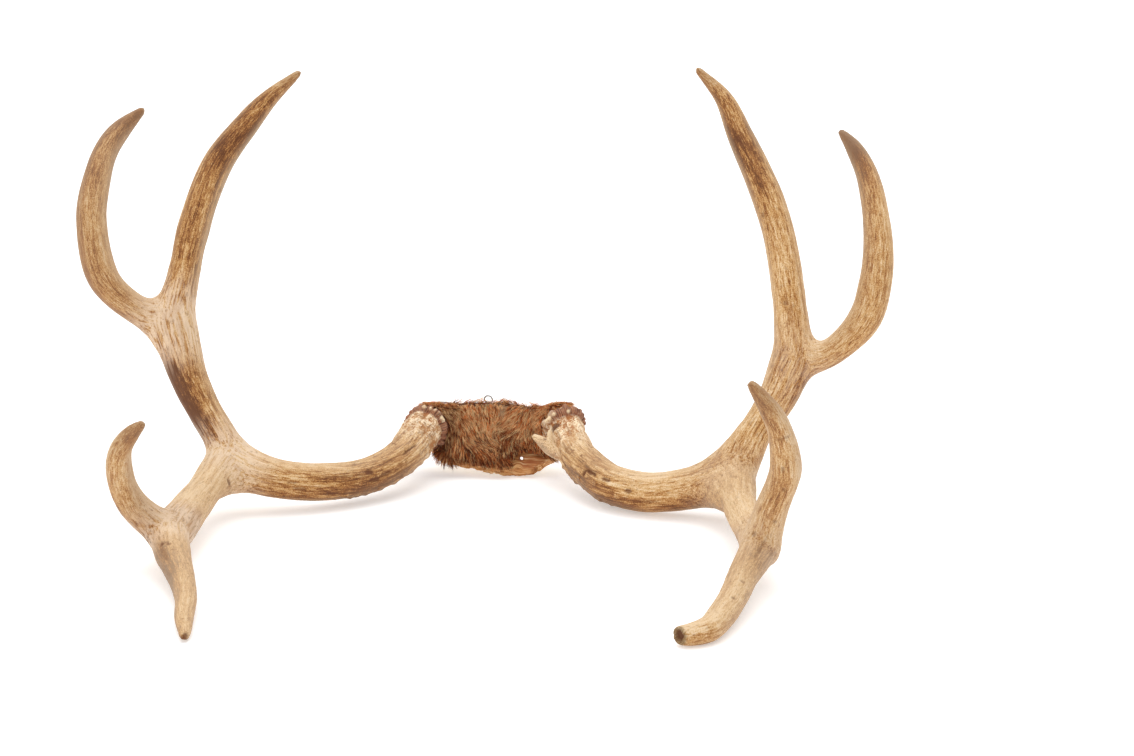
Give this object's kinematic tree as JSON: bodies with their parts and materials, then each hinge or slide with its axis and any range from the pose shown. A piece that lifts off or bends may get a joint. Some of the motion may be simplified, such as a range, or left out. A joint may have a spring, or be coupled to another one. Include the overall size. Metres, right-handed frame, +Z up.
{
  "type": "mule deer antler rack on a skull plate",
  "caption": "Pair of branched deer antlers joined by a sawn skull plate with forehead hide, resting on its front points.",
  "frame": {"origin": "centre of the bounding box, on the surface that the rack rests on", "axes": "+X from the left antler to the right one as seen from the front, +Y from the front points back to the skull plate, +Z up"},
  "size_m": [0.602, 0.4547, 0.3247],
  "materials": {
    "antler": "hard bone, satin, tan with brown grooves and dark pits",
    "skull_bone": "dry sawn bone, matt, cream with orange-brown stain",
    "deer_hide": "short brown deer fur",
    "wire": "thin dull steel wire"
  },
  "bodies": {
    "root": {"left_beam": "antler", "left_back_stem": "antler", "left_back_inner_tine": "antler", "left_back_outer_tine": "antler", "left_front_stem": "antler", "left_front_upper_tine": "antler", "left_front_lower_tine": "antler", "right_beam": "antler", "right_back_stem": "antler", "right_back_inner_tine": "antler", "right_back_outer_tine": "antler", "right_front_stem": "antler", "right_front_upper_tine": "antler", "right_front_lower_tine": "antler", "skull_plate": "skull_bone", "hide": "deer_hide", "hanging_wire": "wire"}
  },
  "joints": []
}
